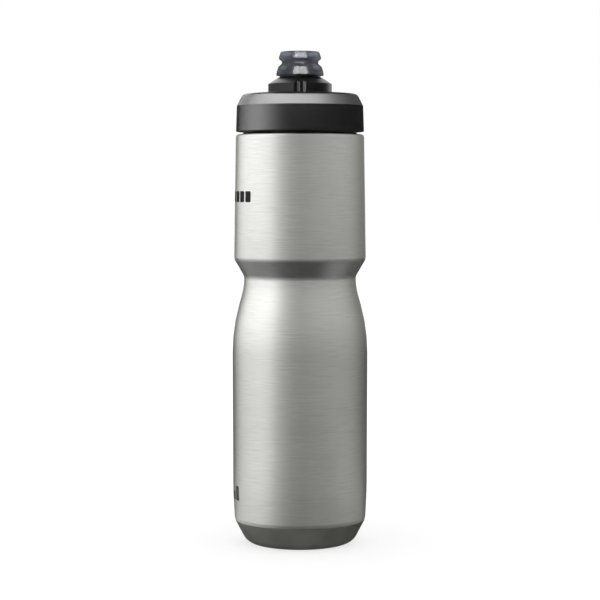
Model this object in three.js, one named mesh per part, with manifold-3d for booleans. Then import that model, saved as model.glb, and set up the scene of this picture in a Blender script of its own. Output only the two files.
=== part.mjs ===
// A vacuum-insulated steel cycling bottle with a screw cap and a twist-lock drinking nozzle.
// Millimetres. +Z runs up the bottle's axis and the origin is on the ground, at the centre of the base.
// The nozzle's pair of grip flutes faces -Y, and the nozzle is drawn down in its locked position.
import * as THREE from "three";
import { mergeVertices } from "three/addons/utils/BufferGeometryUtils.js";
import Module from "manifold-3d";

const wasm = await Module();
wasm.setup();

// ---------------------------------------------------------------- driving dimensions

const TURN = 2 * Math.PI;
const BODY_R = 37; // the widest part of the side wall, made for a 74 mm bottle cage
const WAIST_R = 30.6; // the groove that a bottle cage's tab drops into
const WAIST_Z = 146.8;
const GRIP_R = 36.05; // the upper barrel, at its lower edge
const GRIP_Z = 156.2;
const SHOULDER_R = 34.95; // the upper barrel, at the shoulder
const SHOULDER_Z = 223.9;

const STEEL = 0.45; // outer wall
const LINER = 0.4; // inner wall
const VACUUM = 3.3; // space between the two walls
const GAP = 0.15; // drawn between two pieces that are welded, bonded or pressed together

const NECK_R = 30.9;
const NECK_TOP = 236.85;
const MOUTH_R = NECK_R - STEEL - GAP - LINER; // the opening, inside the inner wall's neck
const LIP = 0.6; // thickness of the rolled lip

const THREAD_PITCH = 5;
const THREAD_TURNS = 1.4;
const THREAD_Z = 227.6; // middle of the neck thread's lower end
const THREAD_CREST = 1; // axial width of a thread's flat crest
const THREAD_ROOT = 2.6; // axial width of a thread at the wall
const THREAD_MESH = 1.65; // how far the cap's thread hangs below the neck's

const PAD = 1.5; // silicone base pad
const PAD_TOP = 12.9; // the pad's upper edge
const PAD_TOP_R = 35.63;
const LAP_TOP = 14.2; // the bottom cup's rim inside the outer wall
const LAP_GAP = 0.25;
const FLARE_R = 28.9; // where the slope of the pad would reach the ground
const FOOT_R = 15.5; // inside edge of the ring that the bottle stands on

const CAP_BOTTOM = 225.5;
const CAP_TOP = 246.2;
const CAP_EDGE = [34.42, 239.5]; // radius and height where the cap's side meets its chamfer
const CAP_CROWN = [31.2, 245.85]; // and where the chamfer meets the top
const TICK_Z = 244.6; // middle of the index ticks on the chamfer
const TICK_SPACING = 1.5;
const TICK_CENTRE = 1.8; // how far the middle tick stands to the right
const CAP_BORE = 32.6;
const CAP_CEILING = 243.6;

const TUBE_R = 9.2; // the cap's spout tube
const TUBE_BORE = 7.4;
const TUBE_TOP = 256.6;
const PLUG_R = 3.6;
const PLUG_TOP = 258.6;

const NOZZLE_R = 17.3;
const NOZZLE_BOTTOM = 246.5;
const NOZZLE_BORE = 9.55; // runs on the spout tube
const NOZZLE_LIFT = 2.5; // how far a quarter turn raises the nozzle
const CAM_LEAD = NOZZLE_LIFT * 4; // a quarter turn gives the whole lift
const LUG_Z = 248.4; // middle of a cam lug when locked
const LUG_TURNS = 0.04;
const FLUTE_HALF = 1.6; // half the width of a grip flute
const FLUTE_DEPTH = 1.2;
const FLUTE_SPREAD = 0.094; // half the angle between the two flutes of a pair, in radians
const SPOUT_R = 8; // the nozzle's upper tube, which the valve is pushed onto
const SPOUT_TOP = 265.6;
const RING_R = 10.1; // nozzle seal, at the middle of its cord
const RING_Z = 253.2;
const RING_CORD = 0.75;

const VALVE_BOTTOM = 256;
const VALVE_TOP = 268.8;

const WIDE = 40; // facets round the bottle and the cap
const NARROW = 32; // facets round the nozzle and the mouthpiece
const HIDDEN = 20; // facets round the pieces that are only seen with the bottle cut open
const ARC_TOLERANCE = 0.14; // how far a fillet's chords may stand off its true arc

// ---------------------------------------------------------------- shape helpers

// The points of an outline given as corners [radius, height, fillet radius].
// A corner with a fillet becomes an arc that touches the straight sides next to it.
function rounded(corners) {
  const at = corners.map(([r, z]) => new THREE.Vector2(r, z));
  return at.flatMap((corner, i) => {
    const fillet = corners[i][2] ?? 0;
    if (!fillet) return [corner];
    const back = at[(i + at.length - 1) % at.length].clone().sub(corner).normalize();
    const ahead = at[(i + 1) % at.length].clone().sub(corner).normalize();
    const opening = Math.acos(back.dot(ahead));
    const reach = fillet / Math.tan(opening / 2);
    const middle = back.clone().add(ahead).setLength(fillet / Math.sin(opening / 2)).add(corner);
    const start = back.clone().multiplyScalar(reach).add(corner).sub(middle).angle();
    const end = ahead.clone().multiplyScalar(reach).add(corner).sub(middle).angle();
    const chord = 2 * Math.acos(Math.max(1 - ARC_TOLERANCE / fillet, 0));
    const steps = Math.max(2, Math.ceil((Math.PI - opening) / chord));
    const clockwise = back.cross(ahead) > 0;
    return new THREE.EllipseCurve(middle.x, middle.y, fillet, fillet, start, end, clockwise).getPoints(steps);
  });
}

// Moves a run of corners to its left by depth, which is towards the axis when the run climbs.
// Every straight side shifts along its own normal, and each fillet keeps the same centre.
function inset(corners, depth) {
  const at = corners.map(([r, z]) => new THREE.Vector2(r, z));
  const sides = at.slice(1).map((end, i) => end.clone().sub(at[i]).normalize());
  return corners.map(([r, z, fillet = 0], i) => {
    const before = sides[Math.max(i - 1, 0)];
    const after = sides[Math.min(i, sides.length - 1)];
    const share = depth / (1 + before.dot(after));
    const radius = fillet ? Math.max(fillet - Math.sign(before.cross(after)) * depth, 0.2) : 0;
    return [r - (before.y + after.y) * share, z + (before.x + after.x) * share, radius];
  });
}

// The closed outline of a sheet of the given thickness, whose outer face is the run of corners.
const sheet = (corners, thickness) => [...corners, ...inset(corners, thickness).reverse()];

// A run of corners cut off at two heights, each on a straight side, with new ends put there.
function between(corners, low, high) {
  const crossing = (z) => {
    const i = corners.findIndex((c, k) => k > 0 && corners[k - 1][1] <= z && z <= c[1]);
    const [[r0, z0], [r1, z1]] = [corners[i - 1], corners[i]];
    return [r0 + ((r1 - r0) * (z - z0)) / (z1 - z0), z];
  };
  return [crossing(low), ...corners.filter(([, z]) => z > low && z < high), crossing(high)];
}

// A body of revolution about +Z, from a closed outline. Two of its corners may sit on the axis.
function turned(corners, facets = WIDE) {
  const points = rounded(corners);
  if (THREE.ShapeUtils.area(points) < 0) points.reverse();
  if (points.some((point) => point.x === 0)) {
    while (points[0].x !== 0 || points.at(-1).x !== 0) points.push(points.shift());
  } else {
    points.push(points[0].clone());
  }
  return new THREE.LatheGeometry(points, facets).rotateX(Math.PI / 2);
}

// A bar that climbs round +Z as a right-hand helix. Its section is a trapezoid between two radii, the
// root and the crest, with an axial width at each. The crest may be outside the root or inside it.
// With fade, the crest sinks towards the root over that many turns at each end.
function helix({ root, rootWidth, crest, crestWidth, z, turn, turns, lead, fade = 0 }) {
  const outward = crest > root;
  const inner = (outward ? rootWidth : crestWidth) / 2;
  const outer = (outward ? crestWidth : rootWidth) / 2;
  const section = new THREE.Shape([
    new THREE.Vector2(-inner, 0),
    new THREE.Vector2(inner, 0),
    new THREE.Vector2(outer, 1),
    new THREE.Vector2(-outer, 1),
  ]);
  const steps = Math.max(2, Math.round(turns * WIDE));
  const bar = new THREE.ExtrudeGeometry(section, { depth: 1, steps, bevelEnabled: false });
  const place = bar.getAttribute("position");
  for (let i = 0; i < place.count; i++) {
    const along = place.getZ(i) * turns;
    const sunk = fade ? Math.min(1, 0.12 + Math.min(along, turns - along) / fade) : 1;
    const onCrest = place.getY(i) > 0.5 === outward;
    const radius = onCrest ? root + (crest - root) * sunk : root;
    const angle = (turn + along) * TURN;
    place.setXYZ(i, radius * Math.cos(angle), radius * Math.sin(angle), z + place.getX(i) + lead * along);
  }
  return bar;
}

function box(sizeX, sizeY, sizeZ, x, y, z) {
  return new THREE.BoxGeometry(sizeX, sizeY, sizeZ).translate(x, y, z);
}

// three.js geometry to a manifold-3d solid, and back.
function solid(geometry) {
  const bare = geometry.clone();
  bare.deleteAttribute("normal");
  bare.deleteAttribute("uv");
  const merged = mergeVertices(bare, 1e-4);
  const vertProperties = merged.getAttribute("position").array;
  const triVerts = new Uint32Array(merged.index.array);
  return new wasm.Manifold(new wasm.Mesh({ numProp: 3, vertProperties, triVerts }));
}

function surface(made) {
  const mesh = made.getMesh();
  const geometry = new THREE.BufferGeometry();
  geometry.setAttribute("position", new THREE.BufferAttribute(mesh.vertProperties, 3));
  geometry.setIndex(new THREE.BufferAttribute(mesh.triVerts, 1));
  geometry.computeVertexNormals();
  return geometry;
}

const joined = (geometries) => geometries.map(solid).reduce((all, one) => all.add(one));
const cut = (made, geometries) => geometries.map(solid).reduce((all, one) => all.subtract(one), made);

// ---------------------------------------------------------------- the outer outline

// The side of the bottle from the ground to the shoulder, as one run of corners.
const SIDE = [
  [FLARE_R, 0],
  [PAD_TOP_R, PAD_TOP],
  [36.05, 14.8, 6],
  [BODY_R - 0.2, 30, 200],
  [BODY_R, 118.3, 97],
  [WAIST_R + 0.02, 141, 33],
  [WAIST_R, WAIST_Z, 1.5],
  [GRIP_R, GRIP_Z, 5],
  [SHOULDER_R, SHOULDER_Z, 1.5],
];

// The underside and the slope above it, from the axis to the pad's upper edge.
const UNDERSIDE = [[0, 0], [FLARE_R, 0, 8], SIDE[1]];

// ---------------------------------------------------------------- bottle

// Outer wall: the brushed barrel, its shoulder and the neck, with the rolled thread.
function outerShell() {
  const outside = [
    ...between(SIDE, PAD_TOP + 0.1, SHOULDER_Z - 1).slice(0, -1),
    SIDE.at(-1),
    [NECK_R, SHOULDER_Z + 0.35, 0.8],
    [NECK_R, NECK_TOP],
  ];
  const thread = helix({
    root: NECK_R - 0.3,
    rootWidth: THREAD_ROOT,
    crest: NECK_R + 1.2,
    crestWidth: THREAD_CREST,
    z: THREAD_Z,
    turn: 0,
    turns: THREAD_TURNS,
    lead: THREAD_PITCH,
    fade: 0.12,
  });
  return surface(joined([turned(sheet(outside, STEEL)), thread]));
}

// Bottom cup: its rim laps inside the outer wall, and a well in its middle takes the vacuum seal.
function outerBottom() {
  const underPad = inset(UNDERSIDE, PAD + GAP);
  const lap = inset(between(SIDE, PAD_TOP, LAP_TOP), STEEL + LAP_GAP);
  const well = [[0, 5.4], [2.6, 5.4], [2.9, 4.4], [14, 4.4, 3], [18, underPad[0][1], 3]];
  const vent = new THREE.CylinderGeometry(0.5, 0.5, 3, 12).rotateX(Math.PI / 2).translate(0, 0, 5.5);
  const outside = [...well, ...underPad.slice(1), ...lap];
  return surface(cut(solid(turned(sheet(outside, STEEL), HIDDEN)), [vent]));
}

// The bead of solder glass that closes the vent once the air is out.
function vacuumSeal() {
  return turned([[0, 4.5], [1.6, 4.5, 0.4], [2.1, 5.25], [0, 5.25]], HIDDEN);
}

// Inner wall, which follows the outer one at the width of the vacuum, and its rolled lip.
function innerVessel() {
  const wall = inset(between(SIDE, 17, WAIST_Z + 8), STEEL + VACUUM).slice(0, -1);
  const neck = MOUTH_R + LINER;
  const lipBottom = NECK_TOP + GAP;
  const outside = [
    ...wall,
    [GRIP_R - STEEL - VACUUM, 158, 5],
    [SHOULDER_R - STEEL - VACUUM + 0.3, 219, 3],
    [neck, 222.6, 3],
    [neck, lipBottom, 0.2],
    [NECK_R + 0.2, lipBottom],
    [NECK_R + 0.2, lipBottom + LIP, 0.3],
    [MOUTH_R, lipBottom + LIP, 0.4],
  ];
  const inside = inset([...wall, ...outside.slice(wall.length, wall.length + 3)], LINER).reverse();
  return turned([...outside, ...inside], HIDDEN);
}

// The dish welded to the foot of the inner wall.
function innerBottom() {
  const rim = inset(between(SIDE, 17, 30), STEEL + VACUUM)[0][0];
  const outside = [
    [0, 10],
    [9, 10],
    [22, 9, 12],
    [rim, 9, 7.5],
    [rim, 17 - GAP],
  ];
  return turned(sheet(outside, LINER), HIDDEN);
}

// The gas-absorbing pill on the vacuum side of the inner bottom.
function getterPellet() {
  return turned([[0, 8.35], [4, 8.35, 0.3], [4, 9.85, 0.3], [0, 9.85]], HIDDEN);
}

// The spot-welded strap that holds the pill.
function getterClip() {
  const [foot, leg, top, bottom, gauge] = [7.4, 4.9, 9.85, 7.95, 0.25];
  const strap = new THREE.Shape([
    new THREE.Vector2(-foot, top),
    new THREE.Vector2(-foot, top - gauge),
    new THREE.Vector2(-leg, top - gauge),
    new THREE.Vector2(-leg + 0.4, bottom),
    new THREE.Vector2(leg - 0.4, bottom),
    new THREE.Vector2(leg, top - gauge),
    new THREE.Vector2(foot, top - gauge),
    new THREE.Vector2(foot, top),
    new THREE.Vector2(leg - gauge, top),
    new THREE.Vector2(leg - 0.4 - gauge, bottom + gauge),
    new THREE.Vector2(-leg + 0.4 + gauge, bottom + gauge),
    new THREE.Vector2(-leg + gauge, top),
  ]);
  const width = 3;
  return new THREE.ExtrudeGeometry(strap, { depth: width, bevelEnabled: false })
    .rotateX(Math.PI / 2)
    .translate(0, width / 2, 0);
}

// Silicone pad over the bottom cup. It stands on a flat ring with three grip grooves.
function basePad() {
  const groove = (r) => [[r, 0], [r + 0.3, 0.5], [r + 0.9, 0.5], [r + 1.2, 0]];
  const grooves = [16.7, 18.3, 19.9].flatMap(groove);
  const upper = inset(UNDERSIDE, PAD).reverse();
  upper[0] = between(inset(SIDE.slice(0, 2), PAD), 1, PAD_TOP).at(-1);
  return turned([[0, 0.7], [FOOT_R - 0.7, 0.7], [FOOT_R, 0], ...grooves, ...UNDERSIDE.slice(1), ...upper]);
}

// ---------------------------------------------------------------- cap

// Five raised index ticks, side by side near the top of the cap's chamfer.
function indexTicks() {
  const [edgeR, edgeZ] = CAP_EDGE;
  const [crownR, crownZ] = CAP_CROWN;
  const lean = Math.atan2(edgeR - crownR, crownZ - edgeZ);
  const chamferR = edgeR - (TICK_Z - edgeZ) * Math.tan(lean);
  return [-2, -1, 0, 1, 2].map((k) =>
    new THREE.BoxGeometry(0.45, 0.8, 0.9)
      .translate(0, 0.18, 0)
      .rotateX(-lean)
      .translate(0, -chamferR, TICK_Z)
      .rotateZ((TICK_CENTRE + k * TICK_SPACING) / chamferR),
  );
}

// Screw cap, in one moulding with the spout tube, the cam grooves and the stopper on its three ribs.
function cap() {
  const ceiling = NECK_TOP + GAP + LIP + 2.5; // above the lip and the gasket
  const shell = turned([
    [CAP_BORE + 0.4, CAP_BOTTOM],
    [34.9, CAP_BOTTOM, 0.4],
    CAP_EDGE,
    [...CAP_CROWN, 1.5],
    [24, CAP_TOP],
    [TUBE_R, CAP_TOP],
    [TUBE_R, TUBE_TOP],
    [TUBE_BORE, TUBE_TOP],
    [TUBE_BORE, CAP_CEILING],
    [27, CAP_CEILING],
    [27, 235.6],
    [28.4, 235.6],
    [28.4, ceiling],
    [32.1, ceiling],
    [32.1, 237.2],
    [CAP_BORE, 236.7],
    [CAP_BORE, CAP_BOTTOM + 0.4],
  ]);
  const firstTurn = (CAP_BOTTOM + 1.9 - THREAD_Z + THREAD_MESH) / THREAD_PITCH;
  const thread = helix({
    root: CAP_BORE + 0.6,
    rootWidth: THREAD_ROOT,
    crest: CAP_BORE - 1.1,
    crestWidth: THREAD_CREST,
    z: THREAD_Z - THREAD_MESH + firstTurn * THREAD_PITCH,
    turn: firstTurn,
    turns: THREAD_TURNS,
    lead: THREAD_PITCH,
    fade: 0.12,
  });
  const stopper = turned(
    [
      [2.3, CAP_CEILING],
      [PLUG_R, CAP_CEILING],
      [PLUG_R, PLUG_TOP - 0.8],
      [PLUG_R - 0.8, PLUG_TOP],
      [0, PLUG_TOP],
      [0, PLUG_TOP - 1.4],
      [2.3, PLUG_TOP - 1.4],
    ],
    NARROW,
  );
  const ribSize = [TUBE_BORE - PLUG_R + 0.8, 1.4, CAP_TOP - CAP_CEILING];
  const ribMiddle = [(TUBE_BORE + PLUG_R) / 2, 0, (CAP_TOP + CAP_CEILING) / 2];
  const ribs = [0, 1 / 3, 2 / 3].map((turn) => box(...ribSize, ...ribMiddle).rotateZ(turn * TURN));
  const grooves = [0, 0.5].map((start) =>
    helix({
      root: TUBE_R + 0.4,
      rootWidth: 2,
      crest: TUBE_R - 0.9,
      crestWidth: 2,
      z: LUG_Z - CAM_LEAD * (LUG_TURNS / 2 + 0.01),
      turn: start - LUG_TURNS / 2 - 0.01,
      turns: 0.25 + LUG_TURNS + 0.02,
      lead: CAM_LEAD,
    }),
  );
  return surface(cut(joined([shell, thread, stopper, ...ribs, ...indexTicks()]), grooves));
}

// Silicone gasket between the cap's ceiling and the bottle's lip.
function capGasket() {
  const bottom = NECK_TOP + GAP + LIP + GAP;
  return turned([
    [28.9, bottom, 0.3],
    [31.8, bottom, 0.3],
    [31.8, bottom + 2.2, 0.3],
    [28.9, bottom + 2.2, 0.3],
  ], HIDDEN);
}

// ---------------------------------------------------------------- nozzle

// O-ring between the nozzle and the spout tube.
function nozzleSeal() {
  return new THREE.TorusGeometry(RING_R, RING_CORD, 8, NARROW).translate(0, 0, RING_Z);
}

// Twist-lock nozzle: a fluted skirt and cone outside, and a sleeve with two cam lugs inside.
function lockNozzle() {
  const seatBottom = TUBE_TOP + 0.3;
  const seatTop = seatBottom + 1.2;
  const neck = 11.1;
  const groove = RING_CORD + 0.15;
  const body = turned(
    [
      [15.6, NOZZLE_BOTTOM],
      [NOZZLE_R, NOZZLE_BOTTOM],
      [NOZZLE_R, 251.4, 0.3],
      [12.1, 254.7],
      [neck, 255.1],
      [neck, seatTop, 0.4],
      [SPOUT_R, seatTop + 0.3],
      [SPOUT_R, SPOUT_TOP, 0.4],
      [SPOUT_R - 1.6, SPOUT_TOP],
      [SPOUT_R - 1.6, seatTop + 1],
      [PLUG_R + 0.25, seatTop],
      [PLUG_R + 0.25, seatBottom],
      [NOZZLE_BORE, seatBottom],
      [NOZZLE_BORE, RING_Z + groove],
      [RING_R + groove, RING_Z + groove],
      [RING_R + groove, RING_Z - groove],
      [NOZZLE_BORE, RING_Z - groove],
      [NOZZLE_BORE, NOZZLE_BOTTOM + 0.5],
      [11.2, NOZZLE_BOTTOM + 0.5],
      [11.2, 250.4],
      [15.6, 250.4],
    ],
    NARROW,
  );
  const lugs = [0, 0.5].map((start) =>
    helix({
      root: NOZZLE_BORE + 0.3,
      rootWidth: 1.4,
      crest: TUBE_R - 0.55,
      crestWidth: 1.4,
      z: LUG_Z - (CAM_LEAD * LUG_TURNS) / 2,
      turn: start - LUG_TURNS / 2,
      turns: LUG_TURNS,
      lead: CAM_LEAD,
    }),
  );
  // A flute is cut by a bar of diamond section that stands across the skirt's surface.
  const diamond = new THREE.CylinderGeometry(FLUTE_HALF, FLUTE_HALF, 8, 4)
    .rotateX(Math.PI / 2)
    .scale(1, FLUTE_DEPTH / FLUTE_HALF, 1)
    .translate(0, -NOZZLE_R, NOZZLE_BOTTOM + 3);
  const flutes = [0, Math.PI].flatMap((side) =>
    [-1, 1].map((hand) => diamond.clone().rotateZ(side + hand * FLUTE_SPREAD)),
  );
  return surface(cut(joined([body, ...lugs]), flutes));
}

// Self-closing silicone mouthpiece with a cross slit in its sunken face.
function mouthpiece() {
  const bore = SPOUT_R + 0.15;
  const body = turned(
    [
      [0, 267.3],
      [6.9, 267.5, 1],
      [7.9, VALVE_TOP, 0.5],
      [10.4, VALVE_TOP, 0.5],
      [11.4, 266, 2],
      [11.5, 264.9],
      [9.95, 263.8, 0.5],
      [9.95, 262.3],
      [11.75, 260.8, 2],
      [12.65, 258.2, 3],
      [12.95, VALVE_BOTTOM, 0.2],
      [11.35, VALVE_BOTTOM],
      [11.35, 258.6],
      [bore, 258.75],
      [bore, SPOUT_TOP + 0.3],
      [0, SPOUT_TOP + 0.5],
    ],
    NARROW,
  );
  const slits = [0, 0.25].map((turn) => box(8, 0.3, 6, 0, 0, 266.7).rotateZ((turn + 0.125) * TURN));
  return surface(cut(solid(body), slits));
}

// ---------------------------------------------------------------- assembly

function finish(color, roughness, metalness) {
  return new THREE.MeshStandardMaterial({ color, roughness, metalness });
}
const brushedSteel = finish(0xb4b4af, 0.36, 1);
const plainSteel = finish(0xa9aaa8, 0.3, 1);
const blackPlastic = finish(0x1c1c1d, 0.42, 0);
const greySilicone = finish(0x53544f, 0.75, 0);
const smokySilicone = finish(0x5a6270, 0.2, 0);
const sealSilicone = finish(0xd9d9d4, 0.55, 0);
const glassBead = finish(0x3d4a44, 0.25, 0);
const sinteredMetal = finish(0x4c4a48, 0.9, 0.4);

const bottle = new THREE.Group();
function add(name, geometry, material) {
  const mesh = new THREE.Mesh(geometry, material);
  mesh.name = name;
  bottle.add(mesh);
}

add("outer_shell", outerShell(), brushedSteel);
add("outer_bottom", outerBottom(), plainSteel);
add("vacuum_seal", vacuumSeal(), glassBead);
add("inner_vessel", innerVessel(), plainSteel);
add("inner_bottom", innerBottom(), plainSteel);
add("getter_pellet", getterPellet(), sinteredMetal);
add("getter_clip", getterClip(), plainSteel);
add("base_pad", basePad(), greySilicone);
add("cap", cap(), blackPlastic);
add("cap_gasket", capGasket(), sealSilicone);
add("nozzle_seal", nozzleSeal(), sealSilicone);
add("lock_nozzle", lockNozzle(), blackPlastic);
add("mouthpiece", mouthpiece(), smokySilicone);

export default bottle;
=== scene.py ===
"""Looks for an insulated steel cycling bottle with a screw cap and a twist-lock nozzle.

Finer pieces with the same outline replace the CAD nodes, but for a softer waist and a softer edge on top
of the cap. The four hidden nodes at the foot of the double wall keep their CAD shape. Sizes are in
millimetres in the CAD's own frame, and each new piece is fitted to its CAD node's box. Angles round the
bottle are measured from the front (-Y), positive towards +X.
"""
from math import ceil, cos, hypot, pi, radians, sin, sqrt, tan

import bmesh
import bpy
from mathutils import Matrix, Vector


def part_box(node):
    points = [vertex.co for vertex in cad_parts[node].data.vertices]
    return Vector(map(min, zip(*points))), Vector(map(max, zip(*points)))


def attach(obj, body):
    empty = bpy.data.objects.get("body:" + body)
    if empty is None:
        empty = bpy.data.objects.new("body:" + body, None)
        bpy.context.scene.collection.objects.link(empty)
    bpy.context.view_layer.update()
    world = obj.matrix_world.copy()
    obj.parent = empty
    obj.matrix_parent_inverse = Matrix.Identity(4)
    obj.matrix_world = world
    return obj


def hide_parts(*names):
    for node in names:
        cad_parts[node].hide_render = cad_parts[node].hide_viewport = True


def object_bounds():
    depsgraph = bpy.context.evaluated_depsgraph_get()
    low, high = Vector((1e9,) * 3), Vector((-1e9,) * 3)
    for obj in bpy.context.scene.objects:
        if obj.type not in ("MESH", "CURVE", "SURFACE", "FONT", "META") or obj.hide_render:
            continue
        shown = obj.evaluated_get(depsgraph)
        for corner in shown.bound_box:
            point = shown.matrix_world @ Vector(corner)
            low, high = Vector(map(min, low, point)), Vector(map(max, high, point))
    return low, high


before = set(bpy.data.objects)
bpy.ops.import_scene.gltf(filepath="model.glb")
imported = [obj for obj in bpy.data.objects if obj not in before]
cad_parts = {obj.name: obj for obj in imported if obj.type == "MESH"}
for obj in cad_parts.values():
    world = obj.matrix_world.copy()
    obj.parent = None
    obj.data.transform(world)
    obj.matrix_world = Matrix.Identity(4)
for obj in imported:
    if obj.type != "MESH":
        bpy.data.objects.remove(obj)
cad_box = [list(corner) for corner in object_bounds()]

MM = 0.001
TURN = 2 * pi

# ------------------------------------------------------------------ sizes, in mm

# The barrel and its pad.
BODY_R = 37.0
WAIST_R = 30.6
NECK_R = 30.9
WALL = 0.45
PAD_TOP = 12.9
PAD = 1.5
SHOULDER = 224.25
NECK_TOP = 236.85
VESSEL_WALL = 0.4
VESSEL_GAP = 3.75

# The neck's thread. The cap's thread lies THREAD_MESH below it.
THREAD_PITCH = 5.0
THREAD_TURNS = 1.4
THREAD_Z = 227.6
THREAD_ROOT = 2.6
THREAD_CREST = 1.0
THREAD_HEIGHT = 1.2
THREAD_MESH = 1.65

# The cap, whose thread starts CAP_THREAD_START above its lower edge.
CAP_LOW = 225.5
CAP_EDGE = 239.5
CAP_CROWN = 244.9
CAP_TOP = 246.2
CAP_CEILING = 243.6
CAP_BORE = 32.6
CAP_THREAD_HEIGHT = 1.1
CAP_THREAD_START = 1.9

# The spout tube with its two cam grooves, and the nozzle with the lugs that ride in them.
TUBE_R = 9.2
TUBE_TOP = 256.6
TUBE_BORE = 7.4
CAM_DEPTH = 0.9
CAM_WIDTH = 2.0
CAM_LEAD = 10.0
LUG_Z = 248.4
LUG_HEIGHT = 1.4
LUG_TURNS = 0.04
LUG_REACH = 0.55
NOZZLE_R = 17.3
NOZZLE_LOW = 246.5
NOZZLE_BORE = 9.55

# The nozzle's grip flutes, in pairs FLUTE_SPREAD radians each side of the front and the back.
FLUTE_HALF = 1.6
FLUTE_DEPTH = 1.2
FLUTE_SPREAD = 0.094
FLUTE_ROUND = 0.15
FLUTE_TOP = 252.2

# The index ticks on the cap's chamfer, measured along its curve from the front.
TICK_COUNT = 5
TICK_CENTRE = 1.8
TICK_SPACING = 1.5
TICK_HALF = 0.24
TICK_LOW = 244.15
TICK_HIGH = 245.05
TICK_RISE = 0.22

# The print, as blocks with a width and a gap, between two heights, on a radius.
UPPER_MARKS = 9
UPPER_PRINT = (187.3, 193.2)
UPPER_PRINT_R = 35.4
UPPER_MARK = 4.7
UPPER_GAP = 1.2
LOWER_MARKS = 6
LOWER_PRINT = (25.0, 29.8)
LOWER_PRINT_R = 36.8
LOWER_MARK = 4.2
LOWER_GAP = 1.4
TALL_MARK_TOP = 33.0
INK_THICKNESS = 0.03
INK_GAP = 0.004

# Edges that turn more than this many degrees look sharp.
SHARP_EDGE = 32

# ------------------------------------------------------------------ outlines


def rounded(corners):
    """Points of a closed outline given as corners (radius, height, fillet radius, splits).

    A corner with a fillet becomes an arc, and splits cuts the straight that follows into that many parts.
    """
    arcs = []
    for i, (r, z, fillet, _) in enumerate(corners):
        at = Vector((r, z))
        if not fillet:
            arcs.append([at])
            continue
        back = (Vector(corners[i - 1][:2]) - at).normalized()
        ahead = (Vector(corners[(i + 1) % len(corners)][:2]) - at).normalized()
        half = back.angle(ahead) / 2
        middle = at + (back + ahead).normalized() * fillet / sin(half)
        spoke = at + back * fillet / tan(half) - middle
        sweep = (pi - 2 * half) * (1 if back.cross(ahead) < 0 else -1)
        steps = max(3, ceil(abs(sweep) / radians(6)))
        arcs.append([middle + Matrix.Rotation(sweep * k / steps, 2) @ spoke for k in range(steps + 1)])
    points = []
    for i, arc in enumerate(arcs):
        points += arc
        splits = corners[i][3]
        end = arcs[(i + 1) % len(arcs)][0]
        points += [arc[-1].lerp(end, k / splits) for k in range(1, splits)]
    return [(p.x, p.y) for p in points]


def corner(r, z, fillet=0, splits=1):
    """A corner of an outline, as rounded() takes it."""
    return (r, z, fillet, splits)


def radius_at(points, z):
    """The largest radius at a height on an outline."""
    best = 0
    for (r0, z0), (r1, z1) in zip(points, points[1:]):
        if min(z0, z1) <= z <= max(z0, z1) and z0 != z1:
            best = max(best, r0 + (r1 - r0) * (z - z0) / (z1 - z0))
    return best


# ------------------------------------------------------------------ meshes


def wrapped(angle):
    """The same direction as an angle between half a turn back and half a turn on."""
    return (angle + pi) % TURN - pi


def evenly(count, *dense):
    """Angles round the bottle, with extra ones in each dense stretch (middle, half width, step)."""
    angles = {round(TURN * k / count - pi, 6) for k in range(count)}
    for middle, half, step in dense:
        reach = int(half / step)
        angles = {a for a in angles if abs(a - middle) > half}
        angles |= {round(middle + step * k, 6) for k in range(-reach, reach + 1)}
    return sorted(angles)


def mesh_object(name, verts, faces):
    """An object with a new mesh, in the scene."""
    mesh = bpy.data.meshes.new(name)
    mesh.from_pydata(verts, [], faces)
    made = bpy.data.objects.new(name, mesh)
    bpy.context.scene.collection.objects.link(made)
    return made


def finish_mesh(piece):
    """Makes a piece's faces point outwards, and shades it smooth except across sharp edges."""
    cleaned = bmesh.new()
    cleaned.from_mesh(piece.data)
    bmesh.ops.remove_doubles(cleaned, verts=cleaned.verts, dist=1e-7)
    bmesh.ops.recalc_face_normals(cleaned, faces=cleaned.faces)
    cleaned.to_mesh(piece.data)
    cleaned.free()
    piece.data.shade_smooth()
    piece.data.set_sharp_from_angle(angle=radians(SHARP_EDGE))
    return piece


def lathe(name, points, angles, shape=None):
    """Turns an outline about the bottle's axis. shape(r, z, angle) may push the surface in or out."""
    verts, rows = [], []
    for r, z in points:
        if r < 1e-6:
            rows.append([len(verts)] * len(angles))
            verts.append((0, 0, z * MM))
            continue
        rows.append(range(len(verts), len(verts) + len(angles)))
        for a in angles:
            radius = (shape(r, z, a) if shape else r) * MM
            verts.append((radius * sin(a), -radius * cos(a), z * MM))
    loops = list(zip(rows, rows[1:] + rows[:1]))
    if points[0][0] < 1e-6 and points[-1][0] < 1e-6:
        loops.pop()
    faces = []
    for low, high in loops:
        for k in range(len(angles)):
            n = (k + 1) % len(angles)
            corners = list(dict.fromkeys((low[k], low[n], high[n], high[k])))
            if len(corners) > 2:
                faces.append(corners)
    return finish_mesh(mesh_object(name, verts, faces))


def fitted(piece, node, axes=(0, 1, 2)):
    """Stretches a new piece by the hair's breadth that makes its box the same as its CAD node's."""
    low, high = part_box(node)
    spots = [v.co for v in piece.data.vertices]
    for axis in axes:
        own_low, own_high = min(s[axis] for s in spots), max(s[axis] for s in spots)
        scale = (high[axis] - low[axis]) / (own_high - own_low)
        for spot in spots:
            spot[axis] = low[axis] + (spot[axis] - own_low) * scale
    return piece


def boolean(piece, cutter, operation):
    """Joins or cuts a piece with another, which is used up."""
    change = piece.modifiers.new("boolean", "BOOLEAN")
    change.operation = operation
    change.solver = "EXACT"
    change.object = cutter
    evaluated = piece.evaluated_get(bpy.context.evaluated_depsgraph_get())
    mesh = bpy.data.meshes.new_from_object(evaluated)
    piece.modifiers.clear()
    old = piece.data
    piece.data = mesh
    bpy.data.meshes.remove(old)
    bpy.data.objects.remove(cutter)
    return finish_mesh(piece)


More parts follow.
